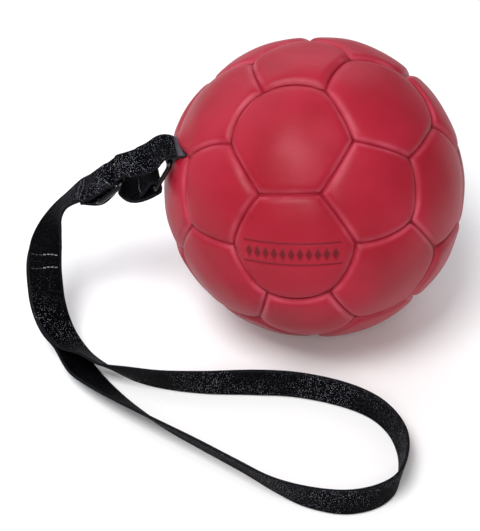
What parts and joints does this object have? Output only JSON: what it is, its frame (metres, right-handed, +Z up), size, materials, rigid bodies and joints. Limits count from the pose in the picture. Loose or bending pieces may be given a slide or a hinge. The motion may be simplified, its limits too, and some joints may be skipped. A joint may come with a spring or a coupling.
{
  "type": "medicine ball",
  "caption": "Stuffed leather medicine ball of sewn five- and six-sided panels, with a wire ring, a webbing anchor strap and slider, and a long lead strap that ends in a hand loop.",
  "frame": {"origin": "on the floor under the ball's centre, at the middle of its resting patch's plane", "axes": "+Z up; -Y towards the viewer of the side that the hand loop lies on; -X towards the side that the strap is sewn to"},
  "size_m": [0.3214, 0.3274, 0.2185],
  "materials": {
    "wine_leather": "semi-matte grained leather",
    "seam_thread": "dark waxed thread, matte",
    "canvas": "woven, matte",
    "fibre": "loose stuffing, matte",
    "black_webbing": "woven nylon with a slight sparkle",
    "black_enamel": "glossy black",
    "grey_thread": "matte"
  },
  "bodies": {
    "ball": {"hex_panel_01": "wine_leather", "hex_panel_02": "wine_leather", "hex_panel_03": "wine_leather", "hex_panel_04": "wine_leather", "hex_panel_05": "wine_leather", "hex_panel_06": "wine_leather", "hex_panel_07": "wine_leather", "hex_panel_08": "wine_leather", "hex_panel_09": "wine_leather", "hex_panel_10": "wine_leather", "hex_panel_11": "wine_leather", "hex_panel_12": "wine_leather", "hex_panel_13": "wine_leather", "hex_panel_14": "wine_leather", "hex_panel_15": "wine_leather", "hex_panel_16": "wine_leather", "hex_panel_17": "wine_leather", "hex_panel_18": "wine_leather", "hex_panel_19": "wine_leather", "hex_panel_20": "wine_leather", "pent_panel_01": "wine_leather", "pent_panel_02": "wine_leather", "pent_panel_03": "wine_leather", "pent_panel_04": "wine_leather", "pent_panel_05": "wine_leather", "pent_panel_06": "wine_leather", "pent_panel_07": "wine_leather", "pent_panel_08": "wine_leather", "pent_panel_09": "wine_leather", "pent_panel_10": "wine_leather", "pent_panel_11": "wine_leather", "pent_panel_12": "wine_leather", "seam_thread": "seam_thread", "canvas_lining": "canvas", "fibre_filling": "fibre", "ring_tab": "black_webbing", "anchor_strap": "black_webbing", "lead_strap": "black_webbing", "loop_stitching": "grey_thread", "tail_stitching": "grey_thread", "anchor_stitching": "grey_thread"},
    "ring": {"wire_ring": "black_enamel"},
    "slider": {"slider": "black_enamel"}
  },
  "joints": [
    {"name": "ring_swing", "type": "hinge", "parent": "ball", "child": "ring", "pos_m": [-0.1053, -0.011, 0.14865], "axis": [-0.1509, 0.9805, -0.1259], "range_deg": [0, 3]},
    {"name": "slider_tilt", "type": "hinge", "parent": "ball", "child": "slider", "pos_m": [-0.149, -0.007, 0.122], "axis": [-0.0693, 0.9891, 0.1296], "range_deg": [-2, 3]}
  ]
}
